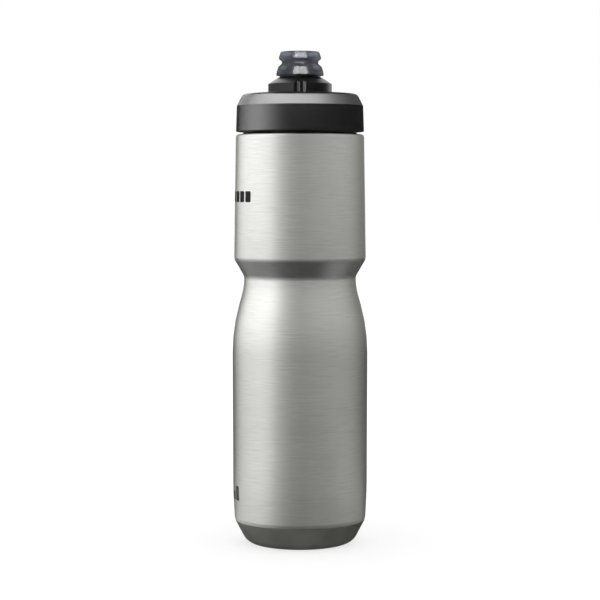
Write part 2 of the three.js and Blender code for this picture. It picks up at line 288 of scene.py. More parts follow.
def block(name, low, high, turn):
    """A rectangular block between two corners in mm, turned about the bottle's axis."""
    made = bmesh.new()
    bmesh.ops.create_cube(made, size=1)
    size = Vector(high) - Vector(low)
    middle = (Vector(high) + Vector(low)) / 2
    placed = Matrix.Rotation(turn, 4, "Z") @ Matrix.Translation(middle) @ Matrix.Diagonal((*size, 1))
    bmesh.ops.transform(made, matrix=Matrix.Scale(MM, 4) @ placed, verts=made.verts)
    mesh = bpy.data.meshes.new(name)
    made.to_mesh(mesh)
    made.free()
    piece = bpy.data.objects.new(name, mesh)
    bpy.context.scene.collection.objects.link(piece)
    return piece


def ridge(z, angle, start_z, turns, lead, root, crest, start_turn=0):
    """How far a point is up a helical ridge, from 0 beside it to 1 on its crest.

    The ridge runs on a little past both ends, where it fades away. Both lengths are shares of a turn.
    """
    over = 0.02
    fading = 0.06
    best = 0
    first = (angle - pi / 2) / TURN - start_turn
    for lap in range(-2, 4):
        along = first + lap
        if -over <= along <= turns + over:
            away = abs(z - start_z - lead * along)
            side = (root / 2 - away) / ((root - crest) / 2)
            fade = min(1, (along + over) / fading, (turns + over - along) / fading)
            best = max(best, min(1, side) * fade)
    return best * best * (3 - 2 * best)


# ------------------------------------------------------------------ materials


class Finish:
    """A node material, with short ways to add and join its nodes."""

    def __init__(self, name):
        self.material = bpy.data.materials.new(name)
        self.material.use_nodes = True
        self.tree = self.material.node_tree
        self.surface = self.tree.nodes["Principled BSDF"]
        self.place = self.add("TexCoord").outputs["Object"]

    def add(self, kind, inputs=None, **settings):
        made = self.tree.nodes.new("ShaderNode" + kind)
        for key, value in settings.items():
            setattr(made, key, value)
        for key, value in (inputs or {}).items():
            self.put(made.inputs[key], value)
        return made

    def put(self, socket, value):
        """Gives a socket a link, a number, a vector, or a colour of three numbers."""
        if isinstance(value, bpy.types.NodeSocket):
            self.tree.links.new(value, socket)
        elif socket.type == "RGBA":
            socket.default_value = (*value, 1)
        else:
            socket.default_value = value

    def set(self, **inputs):
        for key, value in inputs.items():
            self.put(self.surface.inputs[key.replace("_", " ")], value)

    def noise(self, scale, detail, stretch=(1, 1, 1), roughness=0.5):
        """Noise with its features about 1/scale metres across, stretched along each axis."""
        spot = self.add("Mapping", {"Vector": self.place, "Scale": stretch}).outputs["Vector"]
        inputs = {"Vector": spot, "Scale": scale, "Detail": detail, "Roughness": roughness}
        return self.add("TexNoise", inputs).outputs["Fac"]

    def coordinate(self, axis):
        """A point's X, Y or Z on the piece, in metres."""
        return self.add("SeparateXYZ", {0: self.place}).outputs[axis]

    def above(self, axis, edge):
        """1 where a coordinate is more than edge, in mm, and 0 elsewhere."""
        return self.math("GREATER_THAN", self.coordinate(axis), edge * MM)

    def below(self, axis, edge):
        """1 where a coordinate is less than edge, in mm, and 0 elsewhere."""
        return self.math("LESS_THAN", self.coordinate(axis), edge * MM)

    def math(self, operation, a, b=0.0, c=0.0):
        return self.add("Math", {0: a, 1: b, 2: c}, operation=operation).outputs[0]

    def product(self, first, *others):
        """Values multiplied together, which for masks is 1 only where each of them is 1."""
        for other in others:
            first = self.math("MULTIPLY", first, other)
        return first

    def remap(self, value, ends, results, **settings):
        """Takes a value from the range between two ends to the range between two results."""
        names = ("Value", "From Min", "From Max", "To Min", "To Max")
        inputs = dict(zip(names, (value, *ends, *results)))
        return self.add("MapRange", inputs, **settings).outputs["Result"]

    def spread(self, value, low, high):
        """Turns a noise value, mostly 0.3 to 0.7, into a number between low and high."""
        return self.remap(value, (0.3, 0.7), (low, high))

    def tint(self, value, low, high):
        """Blends between two colours as value goes from 0 to 1."""
        # A colour Mix node takes its two colours in sockets 6 and 7, and gives the blend in socket 2.
        return self.add("Mix", {0: value, 6: low, 7: high}, data_type="RGBA").outputs[2]

    def bump(self, height, distance, strength):
        inputs = {"Height": height, "Distance": distance, "Strength": strength}
        return self.add("Bump", inputs).outputs["Normal"]

    def show(self, shader):
        """Puts a shader on the material in place of its plain surface."""
        self.tree.links.new(shader.outputs[0], self.tree.nodes["Material Output"].inputs["Surface"])


def brushed_steel():
    """Stainless steel brushed round the bottle, so its highlights spread up and down.

    Narrow gaps, such as the one under the cap, carry painted shade: ambient occlusion darkens the base
    colour there.
    """
    steel = Finish("brushed_steel")
    fine = steel.noise(1, 3, (150, 150, 8000), 0.7)
    lines = steel.noise(1, 2, (95, 95, 1700), 0.6)
    patches = steel.noise(60, 3, (1, 1, 2.5))
    cloud = steel.noise(45, 3)
    streaks = steel.product(steel.math("SUBTRACT", lines, 0.5), steel.spread(patches, 0.0, 1.8))
    grain = steel.math("MULTIPLY_ADD", fine, 0.4, steel.math("ADD", streaks, 0.3))
    drift = steel.spread(steel.noise(26, 2, (1, 1, 1.5)), -0.22, 0.22)
    tone = steel.math("ADD", steel.spread(grain, 0, 1), drift)
    colour = steel.tint(tone, (0.653, 0.655, 0.634), (0.753, 0.755, 0.734))
    # Painted shade: ambient occlusion darkens the base colour in narrow gaps, such as the one under the
    # cap.
    painted_shade_ao = steel.add("AmbientOcclusion", {"Distance": 0.006}).outputs["AO"]
    steel.set(
        Base_Color=steel.tint(steel.remap(painted_shade_ao, (0.30, 0.62), (0, 1)), (0.01, 0.01, 0.01), colour),
        Metallic=1.0,
        Roughness=steel.math("ADD", steel.spread(grain, 0.35, 0.37), steel.spread(cloud, -0.01, 0.01)),
        Anisotropic=0.7,
        Anisotropic_Rotation=0.25,
        Tangent=steel.add("Tangent", direction_type="RADIAL", axis="Z").outputs["Tangent"],
        Normal=steel.bump(grain, 0.00001, 0.2),
    )
    return steel.material


def plain_steel():
    """Pressed stainless steel with a faint spun grain."""
    steel = Finish("plain_steel")
    spun = steel.noise(1, 2, (60, 60, 2500), 0.6)
    cloud = steel.noise(120, 3)
    steel.set(
        Base_Color=steel.tint(cloud, (0.52, 0.52, 0.51), (0.66, 0.66, 0.65)),
        Metallic=1.0,
        Roughness=steel.spread(spun, 0.22, 0.36),
        Normal=steel.bump(spun, 0.00001, 0.4),
    )
    return steel.material


def black_plastic(name):
    """Black moulded plastic with a fine grain, and faint rings from its mould's turned face."""
    plastic = Finish(name)
    grain = plastic.noise(4200, 2)
    rings = plastic.noise(1, 3, (25, 25, 2600), 0.6)
    flow = plastic.noise(60, 3, (1, 1, 5))
    relief = plastic.math("MULTIPLY_ADD", grain, 0.35, plastic.product(rings, 0.65))
    plastic.set(
        Base_Color=plastic.tint(flow, (0.0032, 0.0032, 0.0032), (0.0048, 0.0048, 0.0050)),
        Normal=plastic.bump(relief, 0.00001, 0.15),
    )
    return plastic, rings


def cap_plastic():
    """The cap's black plastic. The chamfer is more satin than the side, and the crown and ticks shine."""
    plastic, rings = black_plastic("cap_black_plastic")
    chamfer = plastic.product(plastic.above("Z", CAP_EDGE), 0.10)
    crown = plastic.product(plastic.above("Z", CAP_CROWN), -0.14)
    satin = plastic.math("ADD", chamfer, crown)
    across = plastic.math("SUBTRACT", plastic.coordinate("X"), TICK_CENTRE * MM)
    aside = plastic.math("PINGPONG", across, TICK_SPACING / 2 * MM)
    away = plastic.math("ABSOLUTE", across)
    tick = plastic.product(
        plastic.math("LESS_THAN", away, 2.4 * TICK_SPACING * MM),
        plastic.math("LESS_THAN", aside, (TICK_HALF + 0.03) * MM),
        plastic.above("Z", TICK_LOW - 0.05),
        plastic.below("Z", TICK_HIGH + 0.05),
        plastic.below("Y", 0),
    )
    plastic.set(
        IOR=plastic.math("MULTIPLY_ADD", tick, 0.45, 1.9),
        Roughness=plastic.math("ADD", satin, plastic.spread(rings, 0.258, 0.272)),
    )
    return plastic.material


def nozzle_plastic():
    """The nozzle's black plastic, rubbed shiny on the wall of each grip flute that a twist pushes on."""
    plastic, rings = black_plastic("nozzle_black_plastic")
    spacing = 2 * NOZZLE_R * sin(FLUTE_SPREAD) * MM
    front = plastic.product(plastic.math("SIGN", plastic.coordinate("Y")), -1.0)
    along = plastic.product(plastic.coordinate("X"), front)
    step = plastic.math("FRACT", plastic.math("DIVIDE", along, spacing))
    shiny = plastic.product(
        plastic.math("GREATER_THAN", step, 0.5),
        plastic.math("LESS_THAN", plastic.math("ABSOLUTE", along), spacing),
        plastic.math("SUBTRACT", 1.0, plastic.above("Z", FLUTE_TOP)),
    )
    plastic.set(
        IOR=plastic.math("MULTIPLY_ADD", shiny, 0.5, 1.45),
        Roughness=plastic.math("SUBTRACT", plastic.spread(rings, 0.32, 0.38), plastic.product(shiny, 0.12)),
    )
    return plastic.material


def pad_silicone():
    """Matte grey silicone with a faint green cast, and lint caught in its skin."""
    pad = Finish("pad_silicone")
    skin = pad.noise(2600, 3)
    cloud = pad.noise(110, 4)
    lint = pad.math("GREATER_THAN", pad.noise(1500, 1), 0.73)
    tone = pad.tint(pad.spread(cloud, 0, 1), (0.0500, 0.0515, 0.0445), (0.0635, 0.0655, 0.0570))
    pad.set(
        Base_Color=pad.tint(pad.product(lint, 0.25), tone, (0.16, 0.16, 0.15)),
        Roughness=pad.spread(cloud, 0.55, 0.68),
        IOR=1.38,
        Normal=pad.bump(skin, 0.00003, 0.5),
    )
    return pad.material


def smoky_silicone():
    """Clear silicone tinted smoky blue-grey, glossy outside and cloudy within, with painted light on its
    edges.
    """
    clear = Finish("smoky_silicone")
    cloud = clear.noise(260, 3)
    skin = clear.noise(900, 2)
    # Painted light: the colour is lighter where the surface turns edge-on to the view, standing in for
    # light through the thin rims.
    edge = clear.add("LayerWeight", {"Blend": 0.35}).outputs["Facing"]
    tone_and_painted_edge_light = clear.math("ADD", clear.math("MULTIPLY", edge, 0.9), clear.spread(cloud, -0.05, 0.05))
    clear.set(
        Base_Color=clear.tint(tone_and_painted_edge_light, (0.19, 0.21, 0.27), (0.66, 0.69, 0.76)),
        Roughness=clear.spread(skin, 0.30, 0.36),
        Transmission_Weight=0.93,
        IOR=1.42,
        Coat_Weight=1.0,
        Coat_Roughness=0.08,
        Normal=clear.bump(skin, 0.00001, 0.1),
    )
    return clear.material


def seal_silicone():
    """Milky white food-grade silicone."""
    seal = Finish("seal_silicone")
    cloud = seal.noise(300, 3)
    skin = seal.noise(2400, 2)
    seal.set(
        Base_Color=seal.tint(cloud, (0.66, 0.66, 0.63), (0.78, 0.78, 0.75)),
        Roughness=seal.spread(skin, 0.42, 0.55),
        Subsurface_Weight=0.3,
        Subsurface_Radius=(0.002, 0.002, 0.002),
        Normal=seal.bump(skin, 0.00002, 0.4),
    )
    return seal.material


def print_ink(name, low, high):
    """Screen-printed ink, a little uneven where it was pushed through the mesh."""
    ink = Finish(name)
    mottle = ink.noise(1800, 3)
    weave = ink.noise(500, 2)
    ink.set(
        Base_Color=ink.tint(mottle, low, high),
        Roughness=ink.spread(weave, 0.55, 0.7),
        IOR=1.25,
        Normal=ink.bump(mottle, 0.00001, 0.4),
    )
    return ink.material


def sintered_metal():
    """Dark porous getter metal."""
    pill = Finish("sintered_metal")
    pores = pill.noise(5200, 4)
    pill.set(
        Base_Color=pill.tint(pores, (0.05, 0.05, 0.048), (0.14, 0.135, 0.13)),
        Metallic=0.5,
        Roughness=pill.spread(pores, 0.7, 0.95),
        Normal=pill.bump(pores, 0.00006, 0.8),
    )
    return pill.material


def solder_glass():
    """Fused grey-green glass with fine bubbles."""
    glass = Finish("solder_glass")
    bubbles = glass.noise(3000, 2)
    glass.set(
        Base_Color=glass.tint(bubbles, (0.03, 0.045, 0.04), (0.07, 0.09, 0.08)),
        Roughness=glass.spread(bubbles, 0.1, 0.25),
        Coat_Weight=0.5,
        Normal=glass.bump(bubbles, 0.00003, 0.4),
    )
    return glass.material


STEEL = brushed_steel()
PLAIN = plain_steel()
CAP_BLACK = cap_plastic()
NOZZLE_BLACK = nozzle_plastic()
PAD_FINISH = pad_silicone()
SMOKY = smoky_silicone()
SEAL = seal_silicone()
INK = print_ink("black_ink", (0.004, 0.004, 0.004), (0.010, 0.010, 0.010))
GREY_INK = print_ink("grey_ink", (0.035, 0.035, 0.033), (0.06, 0.06, 0.057))
SINTERED = sintered_metal()
GLASS = solder_glass()


def dressed(piece, body, material, node=None):
    """Gives a piece its material and body, and hides the CAD node that it stands for."""
    piece.data.materials.clear()
    piece.data.materials.append(material)
    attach(piece, body)
    if node:
        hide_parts(node)
    return piece


# ------------------------------------------------------------------ the bottle

# The outline from the foot of the pad, by way of the waist, to the shoulder.
SIDE = [
    corner(28.9, 0),
    corner(35.63, PAD_TOP),
    corner(36.05, 14.8, 6),
    corner(BODY_R - 0.2, 30, 200),
    corner(BODY_R, 118.3, 97),
    corner(WAIST_R + 0.02, 141, 33),
    corner(WAIST_R, 146.8, 5),
    corner(36.05, 156.2, 5),
    corner(34.95, 223.9, 1.5),
]


def under_slope(z, depth):
    """A point at height z on the pad's slope after it moves in by depth along its normal."""
    r, top = SIDE[1][:2]
    slope = (r - SIDE[0][0]) / top
    return r + slope * (z - top) - depth * hypot(1, slope), z


def outer_shell():
    """The brushed barrel from the pad's edge to the neck, with its rolled thread."""
    (low_r, low_z), (high_r, high_z) = SIDE[1][:2], SIDE[2][:2]
    foot = (low_r + (high_r - low_r) * 0.1 / (high_z - low_z), low_z + 0.1)
    outside = [corner(*foot, 0.1), *SIDE[2:], corner(NECK_R, SHOULDER, 0.8, 80), corner(NECK_R, NECK_TOP)]
    inner = [corner(r - WALL, z - (WALL if z > 200 else 0), fillet) for r, z, fillet, _ in outside]
    inner[-1] = corner(NECK_R - WALL, NECK_TOP)
    inner[-2] = corner(NECK_R - WALL, SHOULDER - WALL, 0.8)
    inner[0] = corner(foot[0] - WALL, foot[1])
    points = rounded(outside + inner[::-1])

    def threaded(r, z, angle):
        if abs(r - NECK_R) > 0.01 or z < 225.2:
            return r
        rise = ridge(z, angle, THREAD_Z, THREAD_TURNS, THREAD_PITCH, THREAD_ROOT, THREAD_CREST)
        return r + THREAD_HEIGHT * rise

    shell = fitted(lathe("shell_barrel", points, evenly(256), threaded), "outer_shell")
    return dressed(shell, "bottle", STEEL, "outer_shell")


def inner_vessel():
    """The inner wall and its rolled lip, seen when the cap is off."""
    run = [corner(r - VESSEL_GAP, z, fillet) for r, z, fillet, _ in SIDE[3:7]]
    mouth = NECK_R - WALL - 0.15 - VESSEL_WALL
    lip = NECK_TOP + 0.15
    outside = [
        corner(32.45, 17.0),
        *run,
        corner(36.05 - VESSEL_GAP, 158, 5),
        corner(35.25 - VESSEL_GAP, 219, 3),
        corner(mouth + VESSEL_WALL, 222.6, 3),
        corner(mouth + VESSEL_WALL, lip, 0.2),
        corner(NECK_R + 0.2, lip, 0.15),
        corner(NECK_R + 0.2, lip + 0.6, 0.28),
        corner(mouth, lip + 0.6, 0.5),
    ]
    inside = [corner(r - VESSEL_WALL, z, fillet) for r, z, fillet, _ in outside[:len(run) + 4]]
    inside[-1] = corner(mouth, 222.4, 3)
    vessel = fitted(lathe("vessel_wall", rounded(outside + inside[::-1]), evenly(192)), "inner_vessel")
    return dressed(vessel, "bottle", PLAIN, "inner_vessel")


def inner_bottom():
    """The dish at the foot of the inner wall."""
    rim = 32.4
    inner_rim = rim - VESSEL_WALL
    floor_z = 9 + VESSEL_WALL
    outside = [corner(0, 10), corner(9, 10), corner(22, 9, 12), corner(rim, 9, 7.5), corner(rim, 16.85)]
    inside = [corner(inner_rim, 16.85), corner(inner_rim, floor_z, 7.1), corner(22, floor_z, 11.6)]
    inside += [corner(9, floor_z + 1), corner(0, floor_z + 1)]
    dish = fitted(lathe("vessel_dish", rounded(outside + inside), evenly(160)), "inner_bottom")
    return dressed(dish, "bottle", PLAIN, "inner_bottom")


def base_pad():
    """The silicone pad, with grip grooves under it and a soft upper edge."""
    grooves = []
    for start in (16.7, 18.3, 19.9):
        for out, up in ((0, 0), (0.3, 0.5), (0.9, 0.5), (1.2, 0)):
            grooves.append(corner(start + out, up, 0.12))
    points = rounded([
        corner(0, 0.7),
        corner(14.8, 0.7, 0.4),
        corner(15.5, 0, 0.3),
        *grooves,
        corner(SIDE[0][0], 0, 8.0),
        corner(*SIDE[1][:2], 0.25),
        corner(*under_slope(PAD_TOP, PAD), 0.2),
        corner(*under_slope(PAD, PAD), 6.5),
        corner(0, PAD),
    ])
    pad = fitted(lathe("base_pad_silicone", points, evenly(256)), "base_pad")
    return dressed(pad, "bottle", PAD_FINISH, "base_pad")


# ------------------------------------------------------------------ the cap


def cap_surface(r, z, angle):
    """Adds the cap's inner thread, its cam grooves and its index ticks."""
    if abs(r - CAP_BORE) < 0.01 and z < 236.5:
        low = CAP_LOW + CAP_THREAD_START
        start = (low - THREAD_Z + THREAD_MESH) / THREAD_PITCH
        rise = ridge(z, angle, low, THREAD_TURNS, THREAD_PITCH, THREAD_ROOT, THREAD_CREST, start)
        return r - CAP_THREAD_HEIGHT * rise
    if abs(r - TUBE_R) < 0.01 and z > CAP_TOP + 0.1:
        for start in (0, 0.5):
            along = ((angle - pi / 2) / TURN - start + 0.25) % 1 - 0.25
            if -LUG_TURNS <= along <= 0.25 + LUG_TURNS:
                if abs(z - LUG_Z - CAM_LEAD * along) < CAM_WIDTH / 2:
                    return r - CAM_DEPTH
        return r
    if abs(angle) < 0.2 and TICK_LOW < z < TICK_HIGH and r > 31:
        across = r * angle - TICK_CENTRE
        nearest = TICK_SPACING * round(across / TICK_SPACING)
        if abs(across - nearest) < TICK_HALF and abs(nearest) < TICK_COUNT * TICK_SPACING / 2:
            return r + TICK_RISE
    return r


def cap():
    """The screw cap, in one moulding with the spout tube."""
    points = rounded([
        corner(33.0, CAP_LOW),
        corner(34.9, CAP_LOW, 0.4),
        corner(34.42, CAP_EDGE, 0.5, 50),
        corner(31.2, 245.85, 2.8),
        corner(24, CAP_TOP),
        corner(TUBE_R, CAP_TOP, 0, 60),
        corner(TUBE_R, TUBE_TOP, 0.3),
        corner(TUBE_BORE, TUBE_TOP, 0.3),
        corner(TUBE_BORE, CAP_CEILING),
        corner(27, CAP_CEILING),
        corner(27, 235.6, 0.4),
        corner(28.4, 235.6, 0.4),
        corner(28.4, 240.1),
        corner(32.1, 240.1),
        corner(32.1, 237.2),
        corner(CAP_BORE, 236.7, 0, 70),
        corner(CAP_BORE, 225.9),
    ])
    around = evenly(240, (0.057, 0.13, 0.0025))
    # The CAD's cap includes the stopper, which is taller, so only the width is fitted.
    shell = fitted(lathe("cap_moulding", points, around, cap_surface), "cap", (0, 1))
    return dressed(shell, "cap", CAP_BLACK, "cap")


def cap_stopper():
    """The post that plugs the nozzle, on its three ribs inside the spout tube."""
    post = lathe("cap_stopper", rounded([
        corner(2.3, CAP_CEILING),
        corner(3.6, CAP_CEILING),
        corner(3.6, 258.6, 0.9),
        corner(0, 258.6),
        corner(0, 257.2),
        corner(2.3, 257.2, 0.5),
    ]), evenly(96))
    for k in range(3):
        rib = block("rib", (3.2, -0.7, 243.7), (7.6, 0.7, 246.1), k * TURN / 3)
        boolean(post, rib, "UNION")
    return dressed(post, "cap", CAP_BLACK, "cap")


def cap_gasket():
    """The flat ring that seals the cap against the vessel's lip."""
    ring = lathe("cap_gasket_ring", rounded([
        corner(28.9, 237.75, 0.4),
        corner(31.8, 237.75, 0.4),
        corner(31.8, 239.95, 0.4),
        corner(28.9, 239.95, 0.4),
    ]), evenly(192))
    return dressed(fitted(ring, "cap_gasket"), "cap_seal", SEAL, "cap_gasket")


# ------------------------------------------------------------------ the nozzle


def nozzle_surface(r, z, angle):
    """Cuts the grip flutes in the collar, and adds the cam lugs in its bore."""
    if r > NOZZLE_R - FLUTE_DEPTH:
        for side in (0, pi):
            for hand in (-1, 1):
                away = wrapped(angle - side - hand * FLUTE_SPREAD)
                rise = FLUTE_DEPTH * hypot(NOZZLE_R * away, FLUTE_ROUND) / FLUTE_HALF
                r = min(r, NOZZLE_R - FLUTE_DEPTH + rise)
        return r
    if abs(r - NOZZLE_BORE) < 0.01 and z < 251:
        for start in (0, 0.5):
            along = ((angle - pi / 2) / TURN - start + 0.5) % 1 - 0.5
            if abs(along) < LUG_TURNS / 2 and abs(z - LUG_Z - CAM_LEAD * along) < LUG_HEIGHT / 2:
                return TUBE_R - LUG_REACH
    return r


def lock_nozzle():
    """The twist-lock collar and the tube that carries the mouthpiece."""
    points = rounded([
        corner(15.6, NOZZLE_LOW),
        corner(NOZZLE_R, NOZZLE_LOW, 0.15, 14),
        corner(NOZZLE_R, 251.4, 0.25, 36),
        corner(12.1, 254.7, 0.3),
        corner(11.1, 255.1, 0.2),
        corner(11.1, 258.1, 0.4),
        corner(8, 258.4, 0.2),
        corner(8, 265.6, 0.4),
        corner(6.4, 265.6, 0.3),
        corner(6.4, 259.1, 0.3),
        corner(3.85, 258.1),
        corner(3.85, 256.9),
        corner(NOZZLE_BORE, 256.9),
        corner(NOZZLE_BORE, 254.1),
        corner(11.0, 254.1),
        corner(11.0, 252.3),
        corner(NOZZLE_BORE, 252.3, 0, 40),
        corner(NOZZLE_BORE, 247.0),
        corner(11.2, 247.0),
        corner(11.2, 250.4),
        corner(15.6, 250.4),
    ])
    around = evenly(240, (0, 0.2, 0.004), (pi / 2, 0.14, 0.01), (-pi / 2, 0.14, 0.01))
    # The flutes at the back lie across the seam at pi, so their angles are given from both sides of it.
    around = [a for a in around if abs(a) < pi - 0.2]
    around = sorted(around + [pi - 0.004 * k for k in range(50)] + [0.004 * k - pi for k in range(1, 50)])
    collar = fitted(lathe("nozzle_collar", points, around, nozzle_surface), "lock_nozzle")
    return dressed(collar, "nozzle", NOZZLE_BLACK, "lock_nozzle")


def nozzle_seal():
    """The O-ring on the spout tube."""
    middle, cord = Vector((10.1, 253.2)), 0.75
    ring = [middle + Matrix.Rotation(TURN * k / 24, 2) @ Vector((cord, 0)) for k in range(24)]
    seal = lathe("nozzle_o_ring", [tuple(p) for p in ring], evenly(128))
    return dressed(fitted(seal, "nozzle_seal"), "nozzle_seal", SEAL, "nozzle_seal")


def mouthpiece():
    """The soft drinking valve: a bell, a waist to bite on, and a sunken face with a cross slit."""
    points = rounded([
        corner(0, 267.3),
        corner(6.9, 267.5, 1),
        corner(7.9, 268.8, 0.45),
        corner(10.4, 268.8, 0.5),
        corner(11.4, 266.0, 2),
        corner(11.5, 264.9, 0.3),
        corner(9.95, 263.8, 0.5),
        corner(9.95, 262.3, 0.4),
        corner(11.75, 260.8, 2),
        corner(12.65, 258.2, 3),
        corner(12.95, 256, 0.25),
        corner(11.35, 256, 0.2),
        corner(11.35, 258.6, 0.3),
        corner(8.15, 258.75),
        corner(8.15, 265.9, 0.3),
        corner(0, 266.1),
    ])
    valve = fitted(lathe("mouthpiece_valve", points, evenly(192)), "mouthpiece")
    for turn in (TURN / 8, -TURN / 8):
        boolean(valve, block("slit", (-4, -0.08, 264), (4, 0.08, 270), turn), "DIFFERENCE")
    return dressed(valve, "valve", SMOKY, "mouthpiece")


# ------------------------------------------------------------------ print on the barrel


def printed_patch(name, outline, middle, half, low, high, ink):
    """A patch of ink with rounded corners that follows the barrel, from low to high."""
    round_off = 0.5
    columns = 12
    rows = 10
    verts = []
    for lift in (INK_GAP, INK_THICKNESS):
        for i in range(columns + 1):
            across = -half + 2 * half * i / columns
            inset = max(0, abs(across) - (half - round_off))
            trim = round_off - sqrt(max(round_off ** 2 - inset ** 2, 0))
            for j in range(rows + 1):
                z = low + trim + (high - low - 2 * trim) * j / rows
                r = radius_at(outline, z) + lift
                angle = middle + across / r
                verts.append((r * sin(angle) * MM, -r * cos(angle) * MM, z * MM))
    layer = (columns + 1) * (rows + 1)
    faces = []
    for i in range(columns):
        for j in range(rows):
            a = i * (rows + 1) + j
            quad = (a, a + 1, a + rows + 2, a + rows + 1)
            faces += [quad, tuple(layer + v for v in quad)]
    rim = [i * (rows + 1) for i in range(columns + 1)]
    rim += [columns * (rows + 1) + j for j in range(1, rows + 1)]
    rim += [i * (rows + 1) + rows for i in range(columns - 1, -1, -1)]
    rim += list(range(rows - 1, 0, -1))
    for a, b in zip(rim, rim[1:] + rim[:1]):
        faces.append((a, b, layer + b, layer + a))
    patch = finish_mesh(mesh_object(name, verts, faces))
    return dressed(patch, "bottle", ink)


def printed_marks():
    """Plain blocks of ink in the places where the barrel is printed. The last lower one is taller."""
    outline = rounded([*SIDE, corner(NECK_R, SHOULDER, 0.8)])
    marks = []
    for k in range(UPPER_MARKS):
        middle = -pi / 2 + (k - (UPPER_MARKS - 1) / 2) * (UPPER_MARK + UPPER_GAP) / UPPER_PRINT_R
        name = f"upper_mark_{k + 1}"
        marks.append(printed_patch(name, outline, middle, UPPER_MARK / 2, *UPPER_PRINT, INK))
    for k in range(LOWER_MARKS):
        middle = -pi / 2 + (k - (LOWER_MARKS - 1) / 2) * (LOWER_MARK + LOWER_GAP) / LOWER_PRINT_R
        name = f"lower_mark_{k + 1}"
        low, top = LOWER_PRINT
        if k == LOWER_MARKS - 1:
            top = TALL_MARK_TOP
        marks.append(printed_patch(name, outline, middle, LOWER_MARK / 2, low, top, GREY_INK))
    return marks


# ------------------------------------------------------------------ studio

# Places and distances here are in metres, the lens is in mm, and the camera's downward tilt is in degrees.
CAMERA_AT = (0, -1.0238, 0.1946)
CAMERA_DOWN = 3.41
CAMERA_LENS = 112.2
FLOOR_HALF = 9
PANEL_DISTANCE = 0.8
PANEL_CENTRE = 0.2

# The dim side of the room, next to the white of the light.
ROOM_TINT = (0.984, 1.0, 0.945)
WHITE = (1, 1, 1)

# The light round the bottle for each group of pieces, as (direction in degrees, share of the radiance).
STEEL_STOPS = (
    (-180, 0.25), (-150, 0.12), (-130, 0.60), (-112, 0.84), (-90, 0.90), (-73, 0.93), (-54, 0.87),
    (-34, 0.48), (-15, 0.31), (5, 0.28), (25, 0.32), (50, 0.34), (80, 0.355), (105, 0.30), (130, 0.165),
    (150, 0.12), (180, 0.25),
)
FLOOR_STOPS = (
    (-180, 0.10), (-150, 0.04), (-130, 0.36), (-112, 0.70), (-90, 0.86), (-73, 0.93), (-54, 0.87),
    (-34, 0.48), (-15, 0.31), (5, 0.28), (25, 0.32), (50, 0.33), (80, 0.33), (105, 0.26), (130, 0.13),
    (150, 0.08), (180, 0.12),
)
SIDE_STOPS = (
    (-110, 0.0), (-90, 0.2), (-68, 0.5), (-50, 0.1), (-40, 0.0), (40, 0.0), (65, 0.8), (85, 1.0),
    (105, 0.8), (125, 0.5),
)
LEFT_STOPS = (
    (-140, 0.06), (-118, 0.34), (-94, 0.78), (-74, 0.86), (-57, 0.52), (-41, 0.18), (-26, 0.03),
    (-8, 0.0), (0, 0.0),
)
TOP_STOPS = (
    (-125, 0.35), (-105, 0.52), (-80, 0.68), (-35, 0.92), (5, 0.91), (40, 0.72), (74, 0.22), (95, 0.12),
    (125, 0.06),
)
FAR_LEFT_STOPS = ((-175, 0.8), (-150, 1.0), (-125, 0.8), (-112, 0.0))
FAR_RIGHT_STOPS = ((108, 0.0), (125, 0.8), (150, 1.0), (175, 0.8))
COLLAR_STOPS = (
    (-150, 0.35), (-118, 0.40), (-76, 0.95), (-36, 1.2), (-24, 1.2), (-12, 0.35), (0, 0.15), (60, 0.08),
    (100, 0.12), (118, 0.45), (134, 1.5), (150, 2.0),
)
COLLAR_TOP_STOPS = (*COLLAR_STOPS[:9], (120, 0.15), (150, 0.2))
COLLAR_BACK_LEFT_STOPS = ((-180, 0.8), (-172, 1.2), (-150, 1.5), (-140, 1.3))
COLLAR_BACK_RIGHT_STOPS = ((150, 1.4), (158, 1.2), (165, 0.9), (172, 0.4), (180, 0.1))
PAD_STOPS = (
    (-150, 1.2), (-110, 1.1), (-70, 0.9), (-45, 0.65), (-20, 0.4), (0, 0.25), (30, 0.10), (50, 0.0),
)
FRONT_STOPS = ((-35, 1.0), (-4, 1.0), (0, 0.4), (4, 0.9), (39, 0.9))


def floor():
    """A pale floor that fades to the white of the background away from the bottle."""
    corners = [(x * FLOOR_HALF, y * FLOOR_HALF, 0) for x, y in ((-1, -1), (1, -1), (1, 1), (-1, 1))]
    made = mesh_object("floor", corners, [(0, 1, 2, 3)])
    made.location.z = cad_box[0][2]
    pale = Finish("pale_floor")
    pale.set(Base_Color=pale.tint(pale.noise(3, 2), (0.86, 0.86, 0.86), (0.9, 0.9, 0.9)), Roughness=0.9)
    far = pale.add("VectorMath", {0: pale.place}, operation="LENGTH").outputs["Value"]
    fade = pale.remap(far, (0.05, 0.35), (0.62, 1.0), interpolation_type="SMOOTHSTEP")
    white = pale.add("Emission", {"Strength": 1.15})
    pale.show(pale.add("MixShader", {0: fade, 1: pale.surface.outputs[0], 2: white.outputs[0]}))
    made.data.materials.append(pale.material)
    made.visible_glossy = False


def arc(low, high):
    """Points (distance out, height) on an arc round the bottle's middle, between two elevations."""
    steps = 10
    turns = [radians(low + (high - low) * k / steps) for k in range(steps + 1)]
    return [(PANEL_DISTANCE * cos(e), PANEL_CENTRE + PANEL_DISTANCE * sin(e)) for e in turns]


def flat(near, far, height):
    """Points (distance out, height) of a level sheet."""
    return [(near, height), (far, height)]


def curved_sheet(name, first, last, outline):
    """An outline of (distance out, height) swept round the bottle between two directions in degrees."""
    columns = 48
    row = len(outline)
    verts = []
    for i in range(columns + 1):
        a = radians(first + (last - first) * i / columns)
        verts += [(out * sin(a), -out * cos(a), height) for out, height in outline]
    corners = [i * row + j for i in range(columns) for j in range(row - 1)]
    return mesh_object(name, verts, [(k, k + 1, k + row + 1, k + row) for k in corners])


